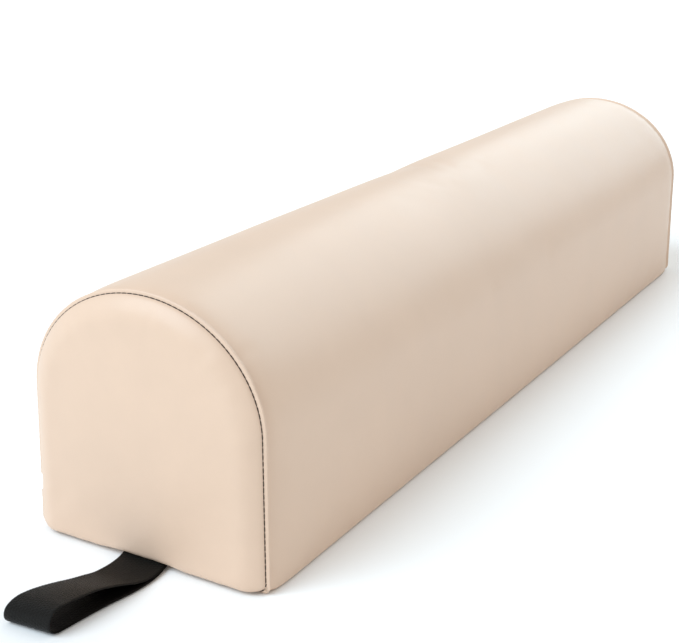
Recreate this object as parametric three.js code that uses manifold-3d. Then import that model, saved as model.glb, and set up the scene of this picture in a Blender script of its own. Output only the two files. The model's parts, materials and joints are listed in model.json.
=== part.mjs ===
// A massage bolster: a foam core in a sewn vinyl cover, with a webbing carry loop and a zip at the back.
// Millimetres. X runs along the bolster, Y across it and Z up. The origin is the middle of the base.

import * as THREE from "three";
import { mergeVertices } from "three/addons/utils/BufferGeometryUtils.js";
import Module from "manifold-3d";

const wasm = await Module();
wasm.setup();

// Driving dimensions: the bolster
const seamLength = 650; // from one end seam to the other
const baseWidth = 150;
const wallHeight = 83; // floor to where the arch springs
const archRise = 65;
const endCrown = 5; // how far an end panel stands out past its seam
const endRimRound = 7; // width of the rounded rim of an end panel
const lowerCornerRadius = 8;
const seamTuck = 2.4; // how far an end seam is pulled in under the body panel's face

// Driving dimensions: the cover's cloth
const skin = 1.2; // vinyl with its knitted backing
const allowance = 9; // the turned-in edge at each seam
const seamGap = 0.3; // between the two cloths of an end seam
const gap = 0.3; // between pieces that touch
const waddingThickness = 5;
const waddingEdgeClearance = 1.6; // from an end's wadding to the seam allowance round it
const threadThickness = 0.7;

// Driving dimensions: the carry loop
const webbingWidth = 28;
const webbingThickness = 1.4;
const loopReach = 86; // end seam to the outside of the fold
const loopHeight = 13.8; // floor to the top of the loop
const loopOffset = 1; // middle of the loop's root, across the bolster
const loopDrift = 7; // how far the fold lies sideways of the root
const rootReach = 7; // end seam to the line that the loop bends at
const tailLength = 25; // webbing sewn inside the seam
const foldRun = 0.6; // how far back from the fold the lower leg turns up, as a share of the loop height
const crestRun = 0.7; // the same for the upper leg
const foldTension = 0.8; // how square the fold is, as a share of the loop height
const partingReach = 0.4; // where the legs part, as a share of the reach of the loop
const partingHeight = 0.49; // the height of the upper leg there, as a share of the loop height

// Driving dimensions: the zip
const zipHeight = 26; // floor to the middle of the zip
const hemOpening = 9; // between the two hems that show the zip
const tapeWidth = 13;
const tapeThickness = 0.7;
const coilThickness = 1.8;
const coilSlit = 1.6; // between the rows
const coilEndMargin = 25; // end seam to the last coil
const stopLength = 4;
const stopThickness = 2.2;
const stitchFromHem = 3; // top stitching to the hem's fold

// Driving dimensions: the slider and its pull
const sliderLength = 13;
const sliderPlate = 1.2;
const sliderEndClearance = 0.5; // to a stop
const sliderWeb = 1; // thickness of the post between the rows
const sliderWebLength = 5;
const sliderFlange = 0.5;
const sliderFlangeDepth = 1.5;
const bridgeLength = 6.8;
const bridgeWidth = 1.6;
const bridgeBar = 1;
const bridgeFoot = 1.2;
const pullLength = 30;
const pullWidth = 9;
const pullThickness = 1.2;
const pullSideClearance = 0.5; // each side of the bridge
const pullPlay = 0.5; // above and below the bar in the bridge
const gripHole = 2.4; // radius

// Sizes that follow
const halfSeam = seamLength / 2;
const half = baseWidth / 2;
const bodyEnd = halfSeam - seamGap / 2;
const liningEnd = bodyEnd - skin - gap;
const hem = 2 * skin;
const tailFloor = skin + gap;
const tailStep = webbingThickness + gap;
const tailY = loopOffset + ((loopDrift / loopReach) * rootReach) / 2;
const tailSlot = [tailY - webbingWidth / 2 - gap, tailY + webbingWidth / 2 + gap];
const endFoot = tailFloor + 2 * tailStep;
const endStart = halfSeam + seamGap / 2;
const hemLow = zipHeight - hemOpening / 2;
const hemHigh = zipHeight + hemOpening / 2;
const tapeOuter = half - hem - gap;
const tapeInner = tapeOuter - tapeThickness;
const coilInner = tapeOuter + gap;
const coilOuter = coilInner + coilThickness;
const coilEnd = halfSeam - coilEndMargin;
const coilWidth = hemOpening / 2 - 2 * gap - sliderFlange - coilSlit / 2; // one row
const chainHalf = coilSlit / 2 + coilWidth;
const sliderHome = -(coilEnd - sliderLength / 2 - sliderEndClearance);
const bridgeClear = 2 * pullPlay + pullThickness;

const archSegments = 36;
const cornerSegments = 5;
// Where a drawing's own X, Y and depth point on the bolster: a cross-section, and a view from the side
// that starts at the strap end and looks outwards.
const sectionAxes = [new THREE.Vector3(0, 1, 0), new THREE.Vector3(0, 0, 1), new THREE.Vector3(1, 0, 0)];
const sideAxes = [new THREE.Vector3(-1, 0, 0), new THREE.Vector3(0, 0, 1), new THREE.Vector3(0, 1, 0)];

const finish = (color, roughness, metalness = 0) =>
  new THREE.MeshStandardMaterial({ color, roughness, metalness });
const vinyl = () => finish(0xebd9c8, 0.45);
const webbing = () => finish(0x11110f, 0.8);
const foam = () => finish(0xf0e6c8, 0.95);
const wadding = () => finish(0xf7f7f4, 1);
const thread = () => finish(0xc9b296, 0.7);
const zipCloth = () => finish(0xd8c4ae, 0.85);
const nylon = () => finish(0xcdb8a0, 0.5);
const nickel = () => finish(0xc4c4c2, 0.3, 0.9);

const bolster = new THREE.Group();
bolster.name = "bolster";

function add(name, geometry, material) {
  const mesh = new THREE.Mesh(geometry, material);
  mesh.name = name;
  bolster.add(mesh);
}

// A closed geometry as a solid that can be joined and cut.
function solid(geometry) {
  const bare = geometry.clone();
  bare.deleteAttribute("normal");
  bare.deleteAttribute("uv");
  const merged = mergeVertices(bare, 1e-4);
  const vertProperties = new Float32Array(merged.attributes.position.array);
  const triVerts = new Uint32Array(merged.index.array);
  return new wasm.Manifold(new wasm.Mesh({ numProp: 3, vertProperties, triVerts }));
}

function geometryOf(body) {
  const { vertProperties, triVerts } = body.getMesh();
  const geometry = new THREE.BufferGeometry();
  geometry.setAttribute("position", new THREE.BufferAttribute(vertProperties, 3));
  geometry.setIndex(new THREE.BufferAttribute(triVerts, 1));
  return geometry;
}

const joined = (...parts) => parts.map(solid).reduce((whole, part) => whole.add(part));

// A box between two values on each axis.
function block(x, y, z) {
  const geometry = new THREE.BoxGeometry(x[1] - x[0], y[1] - y[0], z[1] - z[0]);
  return geometry.translate((x[0] + x[1]) / 2, (y[0] + y[1]) / 2, (z[0] + z[1]) / 2);
}

// A cross-section of the bolster, drawn in Y and Z, swept from one X to another.
function sweep(shape, from, to) {
  const geometry = new THREE.ExtrudeGeometry(shape, { depth: to - from, bevelEnabled: false });
  return geometry.applyMatrix4(new THREE.Matrix4().makeBasis(...sectionAxes)).translate(from, 0, 0);
}

function rectangle(y, z) {
  return new THREE.Shape([
    new THREE.Vector2(y[0], z[0]),
    new THREE.Vector2(y[1], z[0]),
    new THREE.Vector2(y[1], z[1]),
    new THREE.Vector2(y[0], z[1]),
  ]);
}

// The points of an elliptical arc, from one angle in half turns to another.
function arc(centreY, centreZ, radiusY, radiusZ, from, to, segments) {
  const curve = new THREE.EllipseCurve(
    centreY,
    centreZ,
    radiusY,
    radiusZ,
    from * Math.PI,
    to * Math.PI,
    to < from,
  );
  return curve.getPoints(segments);
}

// The closed tunnel outline, inset from the cover's face, with its foot at a height and its corners rounded.
function tunnel(inset, foot, radius = 0) {
  const side = half - inset;
  const corner = (y, from) =>
    radius > 0
      ? arc(y - Math.sign(y) * radius, foot + radius, radius, radius, from, from + 0.5, cornerSegments)
      : [new THREE.Vector2(y, foot)];
  return new THREE.Shape([
    ...corner(side, -0.5),
    ...arc(0, wallHeight, side, archRise - inset, 0, 1, archSegments),
    ...corner(-side, 1),
  ]);
}

// A layer that runs up the front wall, over the arch and down the rear wall.
function wrap(inset, thickness, frontFoot, rearFoot) {
  const outer = half - inset;
  const inner = outer - thickness;
  return new THREE.Shape([
    new THREE.Vector2(outer, rearFoot),
    ...arc(0, wallHeight, outer, archRise - inset, 0, 1, archSegments),
    new THREE.Vector2(-outer, frontFoot),
    new THREE.Vector2(-inner, frontFoot),
    ...arc(0, wallHeight, inner, archRise - inset - thickness, 1, 0, archSegments),
    new THREE.Vector2(inner, rearFoot),
  ]);
}

// What a stretch of the cover's tube leaves open: all inside the cloth between the end flanges, the core
// that the flanges stop at, and the corners where the base panel's edges stand.
function hollow(lining) {
  const past = [-seamLength, seamLength];
  return joined(
    sweep(tunnel(seamTuck + allowance, -half), ...past),
    sweep(rectangle([hem - half, half - hem], [-half, allowance + gap]), ...past),
    sweep(lining, skin - bodyEnd, bodyEnd - skin),
  );
}

// The front wall, arch and rear wall in one sheet, hemmed at the base and above the zip.
function bodyPanel() {
  const lining = new THREE.Shape([
    new THREE.Vector2(half - hem, -half),
    new THREE.Vector2(half - hem, hemHigh + allowance),
    new THREE.Vector2(half - skin, hemHigh + allowance),
    ...arc(0, wallHeight, half - skin, archRise - skin, 0, 1, archSegments),
    new THREE.Vector2(skin - half, allowance),
    new THREE.Vector2(hem - half, allowance),
    new THREE.Vector2(hem - half, -half),
  ]);
  const rear = block([-seamLength, seamLength], [0, baseWidth], [-half, hemHigh]);
  return solid(sweep(tunnel(0, 0), -bodyEnd, bodyEnd)).subtract(hollow(lining)).subtract(solid(rear));
}

// The strip of the rear wall below the zip, hemmed at the base and at the zip. A strip narrower than its
// two hems is doubled all over.
function rearStrip() {
  const single = [
    new THREE.Vector2(half - hem, allowance),
    new THREE.Vector2(half - skin, allowance),
    new THREE.Vector2(half - skin, hemLow - allowance),
    new THREE.Vector2(half - hem, hemLow - allowance),
  ];
  const lining = new THREE.Shape([
    new THREE.Vector2(0, -half),
    new THREE.Vector2(half - hem, -half),
    ...(hemLow > 2 * allowance ? single : []),
    new THREE.Vector2(half - hem, half),
    new THREE.Vector2(0, half),
  ]);
  const blank = sweep(rectangle([hem, half], [0, hemLow]), -bodyEnd, bodyEnd);
  return solid(blank).subtract(hollow(lining));
}

// The base, with its four edges turned up inside the walls, and a gap where the carry loop's tails come in.
function basePanel() {
  const side = half - hem - gap;
  const tray = solid(block([-bodyEnd, bodyEnd], [-side, side], [0, allowance]));
  const inside = solid(
    block([skin - bodyEnd, bodyEnd - skin], [skin - side, side - skin], [skin, 2 * allowance]),
  );
  const slot = solid(block([-halfSeam, -liningEnd], tailSlot, [skin, 2 * allowance]));
  return tray.subtract(inside).subtract(slot);
}

// A pillow shape with a rounded rim: the tunnel outline, thickest in the middle.
function pillow(rimWidth, rimDepth) {
  const core = seamTuck + endRimRound;
  const shape = tunnel(core, endFoot + endRimRound, Math.max(lowerCornerRadius - endRimRound, 0.5));
  const geometry = new THREE.ExtrudeGeometry(shape, {
    depth: skin,
    bevelSize: rimWidth,
    bevelThickness: rimDepth,
    bevelSegments: 3,
  });
  return geometry.applyMatrix4(new THREE.Matrix4().makeBasis(...sectionAxes)).translate(endStart, 0, 0);
}

// An end panel at the +X end: a shallow bowl of vinyl with its seam allowance turned in.
function endPanel() {
  const crown = halfSeam + endCrown - endStart - skin;
  const inward = solid(block([0, endStart], [-baseWidth, baseWidth], [-baseWidth, 2 * baseWidth]));
  const outside = solid(pillow(endRimRound, crown));
  const inside = solid(pillow(endRimRound - skin, crown - skin));
  const flange = tunnel(seamTuck, endFoot, lowerCornerRadius);
  flange.holes.push(tunnel(seamTuck + allowance, endFoot + allowance));
  return outside.subtract(inside).subtract(inward).add(solid(sweep(flange, endStart, endStart + skin)));
}

// The thread line in the groove of the end seam, at the +X end.
function seamThread() {
  const outer = seamTuck - gap - threadThickness;
  const line = tunnel(outer, endFoot - gap - threadThickness, lowerCornerRadius + threadThickness);
  line.holes.push(tunnel(seamTuck - gap, endFoot - gap, lowerCornerRadius));
  const start = bodyEnd + gap;
  return sweep(line, start, start + threadThickness);
}

// Wadding that fills the crown of the end panel at the +X end.
function endWadding() {
  const inset = seamTuck + allowance + waddingEdgeClearance;
  const shape = tunnel(inset, endFoot + allowance + waddingEdgeClearance);
  return sweep(shape, liningEnd + gap, halfSeam + endCrown - skin - gap);
}

// The core, relieved underneath for the carry loop's tails.
function foamCore() {
  const core = solid(sweep(tunnel(skin + gap + waddingThickness + gap, tailFloor), -liningEnd, liningEnd));
  const relief = block([-halfSeam, tailLength + gap - halfSeam], tailSlot, [0, endFoot]);
  return core.subtract(solid(relief));
}

// A ribbon of even thickness along a path.
function ribbon(path, thickness, divisions) {
  const sides = [[], []];
  for (let i = 0; i <= divisions; i++) {
    const at = path.getPointAt(i / divisions);
    const along = path.getTangentAt(i / divisions);
    const normal = new THREE.Vector2(-along.y, along.x).multiplyScalar(thickness / 2);
    sides[0].push(at.clone().add(normal));
    sides[1].unshift(at.clone().sub(normal));
  }
  return new THREE.Shape(sides.flat());
}

// The carry loop seen from the side: distance out from the end seam, and height of the webbing's middle.
function loopPath() {
  const under = webbingThickness / 2;
  const start = rootReach + gap / 2;
  const low = tailFloor + under;
  const high = low + tailStep;
  const out = loopReach - under;
  const top = loopHeight - under;
  const settle = start + 2 * rootReach;
  const foldMiddle = loopHeight / 2;
  const slack = (1 - foldTension) * loopHeight;
  const crest = out - crestRun * loopHeight;
  const parting = partingReach * out;
  const lift = partingHeight * loopHeight;
  const rise = (crest - parting) / 2;
  const path = new THREE.Path();
  path.moveTo(start, low);
  path.bezierCurveTo(start + rootReach / 2, low, settle - rootReach, under, settle, under);
  path.lineTo(out - foldRun * loopHeight, under);
  path.bezierCurveTo(out - slack, under, out, slack, out, foldMiddle);
  path.bezierCurveTo(out, loopHeight - slack, out - slack, top, crest, top);
  path.bezierCurveTo(crest - rise, top, parting + rise / 2, (lift + top) / 2, parting, lift);
  path.bezierCurveTo(parting - rise / 2, (lift + high) / 2, start + rise / 2, high, start, high);
  return path;
}

// The moving part of the carry loop: one band, from its upper root round the fold to its lower root.
function carryStrap() {
  const options = { depth: webbingWidth, bevelEnabled: false };
  const geometry = new THREE.ExtrudeGeometry(ribbon(loopPath(), webbingThickness, 72), options);
  geometry.translate(0, 0, -webbingWidth / 2);
  geometry.applyMatrix4(new THREE.Matrix4().makeShear(0, loopDrift / loopReach, 0, 0, 0, 0));
  geometry.applyMatrix4(new THREE.Matrix4().makeBasis(...sideAxes));
  return geometry.translate(-halfSeam, loopOffset, 0);
}

// A sewn-in tail of the carry loop: 0 is the lower one, 1 the upper.
function strapTail(layer) {
  const floor = tailFloor + layer * tailStep;
  return block(
    [-halfSeam - rootReach + gap / 2, tailLength - halfSeam],
    [tailY - webbingWidth / 2, tailY + webbingWidth / 2],
    [floor, floor + webbingThickness],
  );
}

// A band of the zip, measured from the zip's middle line upwards (side 1) or downwards (side -1).
function zipBand(side, along, y, from, to) {
  const z = [zipHeight + side * from, zipHeight + side * to].sort((a, b) => a - b);
  return block(along, y, z);
}

const zipTape = (side) =>
  zipBand(side, [-liningEnd, liningEnd], [tapeInner, tapeOuter], coilSlit / 2, coilSlit / 2 + tapeWidth);

const zipCoil = (side) =>
  zipBand(side, [-coilEnd, coilEnd], [coilInner, coilOuter], coilSlit / 2, chainHalf);

const topStop = (side) =>
  zipBand(
    side,
    [-coilEnd - gap - stopLength, -coilEnd - gap],
    [coilInner, coilInner + stopThickness],
    coilSlit / 2,
    chainHalf,
  );

const bottomStop = () =>
  block(
    [coilEnd + gap, coilEnd + gap + stopLength],
    [coilInner, coilInner + stopThickness],
    [zipHeight - chainHalf, zipHeight + chainHalf],
  );

// A row of top stitching beside the zip, which holds the hem to the tape.
function zipStitch(side) {
  const from = hemOpening / 2 + stitchFromHem;
  const y = [half + gap, half + gap + threadThickness];
  return zipBand(side, [-liningEnd, liningEnd], y, from, from + threadThickness);
}

// The slider, at the closed end of the zip: two plates and a post round the chain, and the pull's bridge.
function zipSlider() {
  const width = hemOpening - 2 * gap;
  const along = [sliderHome - sliderLength / 2, sliderHome + sliderLength / 2];
  const across = [zipHeight - width / 2, zipHeight + width / 2];
  const outerFace = coilOuter + gap;
  const innerFace = tapeInner - gap;
  const plateTop = outerFace + sliderPlate;
  const web = [sliderHome - sliderWebLength / 2, sliderHome + sliderWebLength / 2];
  const flange = [outerFace - sliderFlangeDepth, outerFace + sliderPlate / 2];
  const bridge = [sliderHome - bridgeLength / 2, sliderHome + bridgeLength / 2];
  const bridgeZ = [zipHeight - bridgeWidth / 2, zipHeight + bridgeWidth / 2];
  const eye = block(
    [bridge[0] + bridgeFoot, bridge[1] - bridgeFoot],
    [plateTop, plateTop + bridgeClear],
    [zipHeight - width, zipHeight + width],
  );
  const arch = block(bridge, [plateTop - sliderPlate / 2, plateTop + bridgeClear + bridgeBar], bridgeZ);
  return joined(
    block(along, [outerFace, plateTop], across),
    block(along, [innerFace - sliderPlate, innerFace], across),
    block(web, [innerFace - sliderPlate / 2, outerFace + sliderPlate / 2], [
      zipHeight - sliderWeb / 2,
      zipHeight + sliderWeb / 2,
    ]),
    block(along, flange, [across[0], across[0] + sliderFlange]),
    block(along, flange, [across[1] - sliderFlange, across[1]]),
    arch,
  ).subtract(solid(eye));
}

// The pull, lying flat along the zip: a tapered tab with an eye round the bridge and a grip hole.
function zipPull() {
  const eyeHalf = bridgeWidth / 2 + pullSideClearance;
  const eyeEnd = Math.hypot(bridgeLength / 2, bridgeClear / 2 + bridgeBar) + pullSideClearance;
  const bar = pullThickness / 2;
  const tip = pullWidth / 2;
  const neck = eyeHalf + pullThickness;
  const shape = new THREE.Shape();
  shape.moveTo(-bar, -neck);
  shape.lineTo(eyeEnd, -neck);
  shape.lineTo(pullLength - tip, -tip);
  shape.absarc(pullLength - tip, 0, tip, -Math.PI / 2, Math.PI / 2, false);
  shape.lineTo(eyeEnd, neck);
  shape.lineTo(-bar, neck);
  const eye = new THREE.Path();
  eye.moveTo(bar, -eyeHalf);
  eye.lineTo(bar, eyeHalf);
  eye.lineTo(eyeEnd, eyeHalf);
  eye.lineTo(eyeEnd, -eyeHalf);
  const grip = new THREE.Path();
  grip.absarc(pullLength - tip, 0, gripHole, 0, 2 * Math.PI, true);
  shape.holes.push(eye, grip);
  const options = { depth: pullThickness, bevelEnabled: false, curveSegments: 12 };
  const geometry = new THREE.ExtrudeGeometry(shape, options).translate(0, 0, -pullThickness / 2);
  const pivot = coilOuter + gap + sliderPlate + bridgeClear / 2;
  return geometry.rotateX(Math.PI / 2).translate(sliderHome, pivot, zipHeight);
}

add("foam_core", geometryOf(foamCore()), foam());
const zipTop = Math.max(zipHeight + coilSlit / 2 + tapeWidth, hemHigh + allowance);
const waddingFoot = [allowance + gap, zipTop + gap];
const waddingWrap = wrap(skin + gap, waddingThickness, ...waddingFoot);
add("wadding_wrap", sweep(waddingWrap, -liningEnd, liningEnd), wadding());
add("body_panel", geometryOf(bodyPanel()), vinyl());
add("rear_strip", geometryOf(rearStrip()), vinyl());
add("base_panel", geometryOf(basePanel()), vinyl());

add("plain_end_panel", geometryOf(endPanel()), vinyl());
add("plain_end_wadding", endWadding(), wadding());
add("plain_end_seam_thread", seamThread(), thread());

add("strap_end_panel", geometryOf(endPanel()).rotateZ(Math.PI), vinyl());
add("strap_end_wadding", endWadding().rotateZ(Math.PI), wadding());
const strapPassage = block([-seamLength, -liningEnd], tailSlot, [0, endFoot + gap]);
const strapEndThread = solid(seamThread().rotateZ(Math.PI)).subtract(solid(strapPassage));
add("strap_end_seam_thread", geometryOf(strapEndThread), thread());

add("strap_tail_lower", strapTail(0), webbing());
add("strap_tail_upper", strapTail(1), webbing());
add("carry_strap", carryStrap(), webbing());

for (const [side, name] of [[1, "upper"], [-1, "lower"]]) {
  add("zip_tape_" + name, zipTape(side), zipCloth());
  add("zip_coil_" + name, zipCoil(side), nylon());
  add("zip_top_stop_" + name, topStop(side), nickel());
  add("zip_stitch_" + name, zipStitch(side), thread());
}
add("zip_bottom_stop", bottomStop(), nickel());
add("zip_slider", geometryOf(zipSlider()), nickel());
add("zip_pull", zipPull(), nickel());

export default bolster;
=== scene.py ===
"""Bolster pillow: a sewn vinyl cover over foam, with a webbing carry loop and a zip along the back wall.

Metres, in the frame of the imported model: X along the bolster with the carry loop at -X, Z up, zip at +Y.
"""

import json
import math
from contextlib import contextmanager

import bmesh
import bpy
import numpy as np
from bpy.props import FloatProperty, FloatVectorProperty, IntProperty, PointerProperty
from mathutils import Matrix, Vector


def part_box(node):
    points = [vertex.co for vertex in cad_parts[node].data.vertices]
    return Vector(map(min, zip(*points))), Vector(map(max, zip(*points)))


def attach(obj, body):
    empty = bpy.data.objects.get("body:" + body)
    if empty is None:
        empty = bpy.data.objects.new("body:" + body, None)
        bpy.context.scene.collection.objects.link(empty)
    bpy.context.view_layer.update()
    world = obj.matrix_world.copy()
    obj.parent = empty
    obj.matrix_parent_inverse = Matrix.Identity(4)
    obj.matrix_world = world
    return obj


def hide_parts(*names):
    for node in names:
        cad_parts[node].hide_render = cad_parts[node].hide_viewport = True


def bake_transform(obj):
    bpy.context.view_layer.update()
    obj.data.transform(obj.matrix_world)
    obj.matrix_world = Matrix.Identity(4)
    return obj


bl_info = {
    "name": "Bolster Pillow",
    "version": (1, 0, 0),
    "blender": (4, 5, 0),
    "location": "View3D > Sidebar > Bolster",
    "description": "Builds a sewn vinyl bolster with its carry loop, its zip and a plain studio",
    "category": "Object",
}

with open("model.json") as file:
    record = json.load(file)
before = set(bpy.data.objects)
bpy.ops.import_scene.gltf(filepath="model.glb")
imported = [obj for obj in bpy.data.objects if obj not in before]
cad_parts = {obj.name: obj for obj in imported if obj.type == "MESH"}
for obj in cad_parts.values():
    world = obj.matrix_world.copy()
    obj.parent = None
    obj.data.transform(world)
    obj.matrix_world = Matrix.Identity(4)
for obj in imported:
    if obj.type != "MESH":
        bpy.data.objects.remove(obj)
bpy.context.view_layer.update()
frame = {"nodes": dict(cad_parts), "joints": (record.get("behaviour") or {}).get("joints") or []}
joint_at = {joint["name"]: joint for joint in frame["joints"]}
mm = 0.001

body_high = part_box("body_panel")[1]
base_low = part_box("base_panel")[0]
end_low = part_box("plain_end_panel")[0]
strip_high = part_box("rear_strip")[1]
tail_low, tail_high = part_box("strap_tail_lower")
seam_x = (body_high.x + end_low.x) / 2
half_width = body_high.y
top = body_high.z
arch_flare = 10 * mm  # how much lower than a half circle the arch is
wall_height = top - (half_width - arch_flare)


# Sizes and colours


def colour_of(name, what, default):
    return FloatVectorProperty(
        name=name, description=what, subtype="COLOR", size=3, default=default, min=0, max=1,
    )


def length_of(name, what, default, least=0.0):
    return FloatProperty(name=name, description=what, unit="LENGTH", default=default, min=least)


class CoverSettings(bpy.types.PropertyGroup):
    """Sizes and colours of the sewn cover"""

    vinyl: colour_of("Vinyl", "Colour of the cover", (0.69, 0.507, 0.38))
    # partly painted shade: the thread's dark brown also stands in for the shade down in the end seams' crease
    thread: colour_of("Thread", "Colour of the seam thread", (0.045, 0.024, 0.013))
    skin: length_of("Thickness", "Thickness of the vinyl", 1.1 * mm, 0.4 * mm)
    lean: length_of("Lean", "How far each wall leans in by the height that the arch springs at", 1.2 * mm)
    seam_tuck: length_of("Seam tuck", "How far an end seam is pulled in under the walls' face", 2.4 * mm)
    end_rim: length_of("End rim", "Width of the rounded rim of an end", 13 * mm, 2 * mm)
    end_rise: length_of("End rise", "How far a stuffed end stands out beyond its seam", 7.6 * mm, 1 * mm)
    stitch: length_of("Stitch", "Length of one stitch of an end seam", 3.5 * mm, 1 * mm)
    pucker: length_of("Pucker", "Depth of the soft puckers beside the end seams", 0.22 * mm)
    hold: length_of("Hold", "How far the cloth may settle away from its cut shape", 2.2 * mm)
    creases: FloatProperty(
        name="Creases", description="How much of the cloth's fine creasing stays", default=0.22, min=0, max=1,
    )
    seed: IntProperty(name="Seed", description="Picks another run of puckers", default=7, min=0)


class WebbingSettings(bpy.types.PropertyGroup):
    """Sizes and colour of the carry loop"""

    colour: colour_of("Webbing", "Colour of the webbing", (0.003, 0.0028, 0.0024))
    width: length_of("Width", "Width of the webbing", tail_high.y - tail_low.y, 5 * mm)
    thickness: length_of("Thickness", "Thickness of the webbing", tail_high.z - tail_low.z, 0.5 * mm)
    cord: length_of("Cord", "Width of one warp cord", 1.75 * mm, 0.5 * mm)


class ZipSettings(bpy.types.PropertyGroup):
    """Sizes and colours of the zip"""

    tape: colour_of("Tape", "Colour of the cloth tape", (0.60, 0.47, 0.36))
    coil: colour_of("Coil", "Colour of the nylon coil", (0.56, 0.43, 0.32))
    metal: colour_of("Metal", "Colour of the slider and stops", (0.62, 0.61, 0.59))
    pitch: length_of("Pitch", "Distance from one tooth of the coil to the next", 1.5 * mm, 0.5 * mm)


class StudioSettings(bpy.types.PropertyGroup):
    """Floor, light and camera"""

    floor: colour_of("Floor", "Colour of the floor", (0.93, 0.93, 0.92))
    key: FloatProperty(name="Key", description="Strength of the soft key light", default=2.65, min=0)
    sky: FloatProperty(name="Surround", description="Strength of the light all round", default=0.66, min=0)
    sheen: FloatProperty(name="Sheen", description="Strength of the low far light", default=1.4, min=0)
    lens: FloatProperty(name="Lens", description="Focal length of the camera", default=72.0, min=10)


# Shader arithmetic


class Signal:
    """A shader value that takes part in ordinary arithmetic."""

    def __init__(self, finish, socket):
        self.finish = finish
        self.socket = socket

    def combine(self, operation, first, second):
        return self.finish.node("ShaderNodeMath", {"operation": operation}, {0: first, 1: second})

    def __add__(self, other):
        return self.combine("ADD", self, other)

    def __radd__(self, other):
        return self.combine("ADD", other, self)

    def __mul__(self, other):
        return self.combine("MULTIPLY", self, other)

    def __rmul__(self, other):
        return self.combine("MULTIPLY", other, self)


class Finish:
    """A procedural material, built up node by node."""

    def __init__(self, name, colour, roughness, metallic=0.0, **constants):
        self.material = bpy.data.materials.new(name)
        self.material.use_nodes = True
        self.tree = self.material.node_tree
        self.tree.nodes.clear()
        self.shader = self.tree.nodes.new("ShaderNodeBsdfPrincipled")
        output = self.tree.nodes.new("ShaderNodeOutputMaterial")
        self.tree.links.new(self.shader.outputs[0], output.inputs["Surface"])
        self.material.diffuse_color = (*colour, 1.0)
        self.feed("Base Color", (*colour, 1.0))
        self.feed("Roughness", roughness)
        self.feed("Metallic", metallic)
        for socket, value in constants.items():
            self.feed(socket.replace("_", " "), value)

    def feed(self, socket, value):
        if isinstance(value, Signal):
            self.tree.links.new(value.socket, self.shader.inputs[socket])
        else:
            self.shader.inputs[socket].default_value = value

    def node(self, kind, settings=None, inputs=None, output=0):
        made = self.tree.nodes.new(kind)
        for name, value in (settings or {}).items():
            setattr(made, name, value)
        for name, value in (inputs or {}).items():
            if isinstance(value, Signal):
                self.tree.links.new(value.socket, made.inputs[name])
            else:
                made.inputs[name].default_value = value
        return Signal(self, made.outputs[output])

    def place(self, scale=(1.0, 1.0, 1.0)):
        coordinates = self.node("ShaderNodeTexCoord", output="Object")
        return self.node("ShaderNodeMapping", inputs={"Vector": coordinates, "Scale": scale})

    def attribute(self, name):
        return self.node("ShaderNodeAttribute", {"attribute_name": name}, output="Vector")

    def axis(self, vector, index):
        return self.node("ShaderNodeSeparateXYZ", inputs={0: vector}, output=index)

    def noise(self, scale, detail=2.0, roughness=0.5, at=None):
        inputs = {"Vector": at or self.place(), "Scale": scale, "Detail": detail, "Roughness": roughness}
        return self.node("ShaderNodeTexNoise", inputs=inputs)

    def cells(self, scale, feature="F1", at=None):
        inputs = {"Vector": at or self.place(), "Scale": scale}
        return self.node("ShaderNodeTexVoronoi", {"feature": feature}, inputs)

    def wave(self, phase):
        return self.node("ShaderNodeMath", {"operation": "SINE"}, {0: phase})

    def band(self, value, low, high):
        inputs = {"Value": value, "From Min": low, "From Max": high}
        return self.node("ShaderNodeMapRange", {"clamp": True}, inputs)

    def tint(self, amount, colour, other):
        settings = {"data_type": "RGBA"}
        return self.node("ShaderNodeMix", settings, {0: amount, 6: colour, 7: other}, output=2)

    def relief(self, height, depth, strength=1.0):
        return self.node("ShaderNodeBump", inputs={"Height": height, "Distance": depth, "Strength": strength})


def shade(colour, amount):
    """A colour made lighter or darker."""
    return (*(min(1.0, channel * amount) for channel in colour[:3]), 1.0)


def waves_per(length):
    """The factor that turns a place into the phase of a wave of a given length."""
    return 2 * math.pi / length


def once(make):
    """Makes a finish the first time that it is asked for, and hands the same one back after that."""
    made = []

    def ask(*settings):
        if not made:
            made.append(make(*settings))
        return made[0]

    return ask


@once
def vinyl_finish(settings):
    """Fine-grained soft vinyl with a faint mottling."""
    finish = Finish(
        "soft_vinyl", settings.vinyl, 0.4, Coat_Roughness=0.5, Coat_Weight=0.06, Specular_IOR_Level=0.42,
        Sheen_Weight=0.04, Sheen_Roughness=0.5,
    )
    cloud = finish.noise(9.0, 3.0)
    mottle = finish.noise(60.0, 2.0)
    grain = finish.cells(1500.0, "DISTANCE_TO_EDGE")
    pores = finish.noise(2600.0, 2.0, 0.6)
    colour = finish.tint(
        finish.band(cloud * 0.7 + mottle * 0.3, 0.35, 0.65),
        shade(settings.vinyl, 0.975), shade(settings.vinyl, 1.025),
    )
    raised = finish.band(grain, 0.0, 0.12) * 0.2 + 0.8
    finish.feed("Base Color", finish.tint(raised, shade(settings.vinyl, 0.9), colour))
    finish.feed("Roughness", finish.band(mottle * 0.6 + pores * 0.4, 0.2, 0.8) * 0.1 + 0.37)
    height = finish.band(grain, 0.0, 0.2) * 0.7 + pores * 0.3
    finish.feed("Normal", finish.relief(height, 0.05 * mm, 0.28))
    return finish.material


@once
def thread_finish(settings):
    """Twisted bonded thread. Its dark colour is partly the thread's own brown and partly painted shade of the
    seam crease.
    """
    finish = Finish("bonded_thread", settings.thread, 0.55, Sheen_Weight=0.04)
    fibre = finish.noise(3000.0, 2.0)
    finish.feed("Base Color", finish.tint(fibre, shade(settings.thread, 0.7), shade(settings.thread, 1.3)))
    finish.feed("Normal", finish.relief(fibre, 0.1 * mm, 0.5))
    return finish.material


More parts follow.
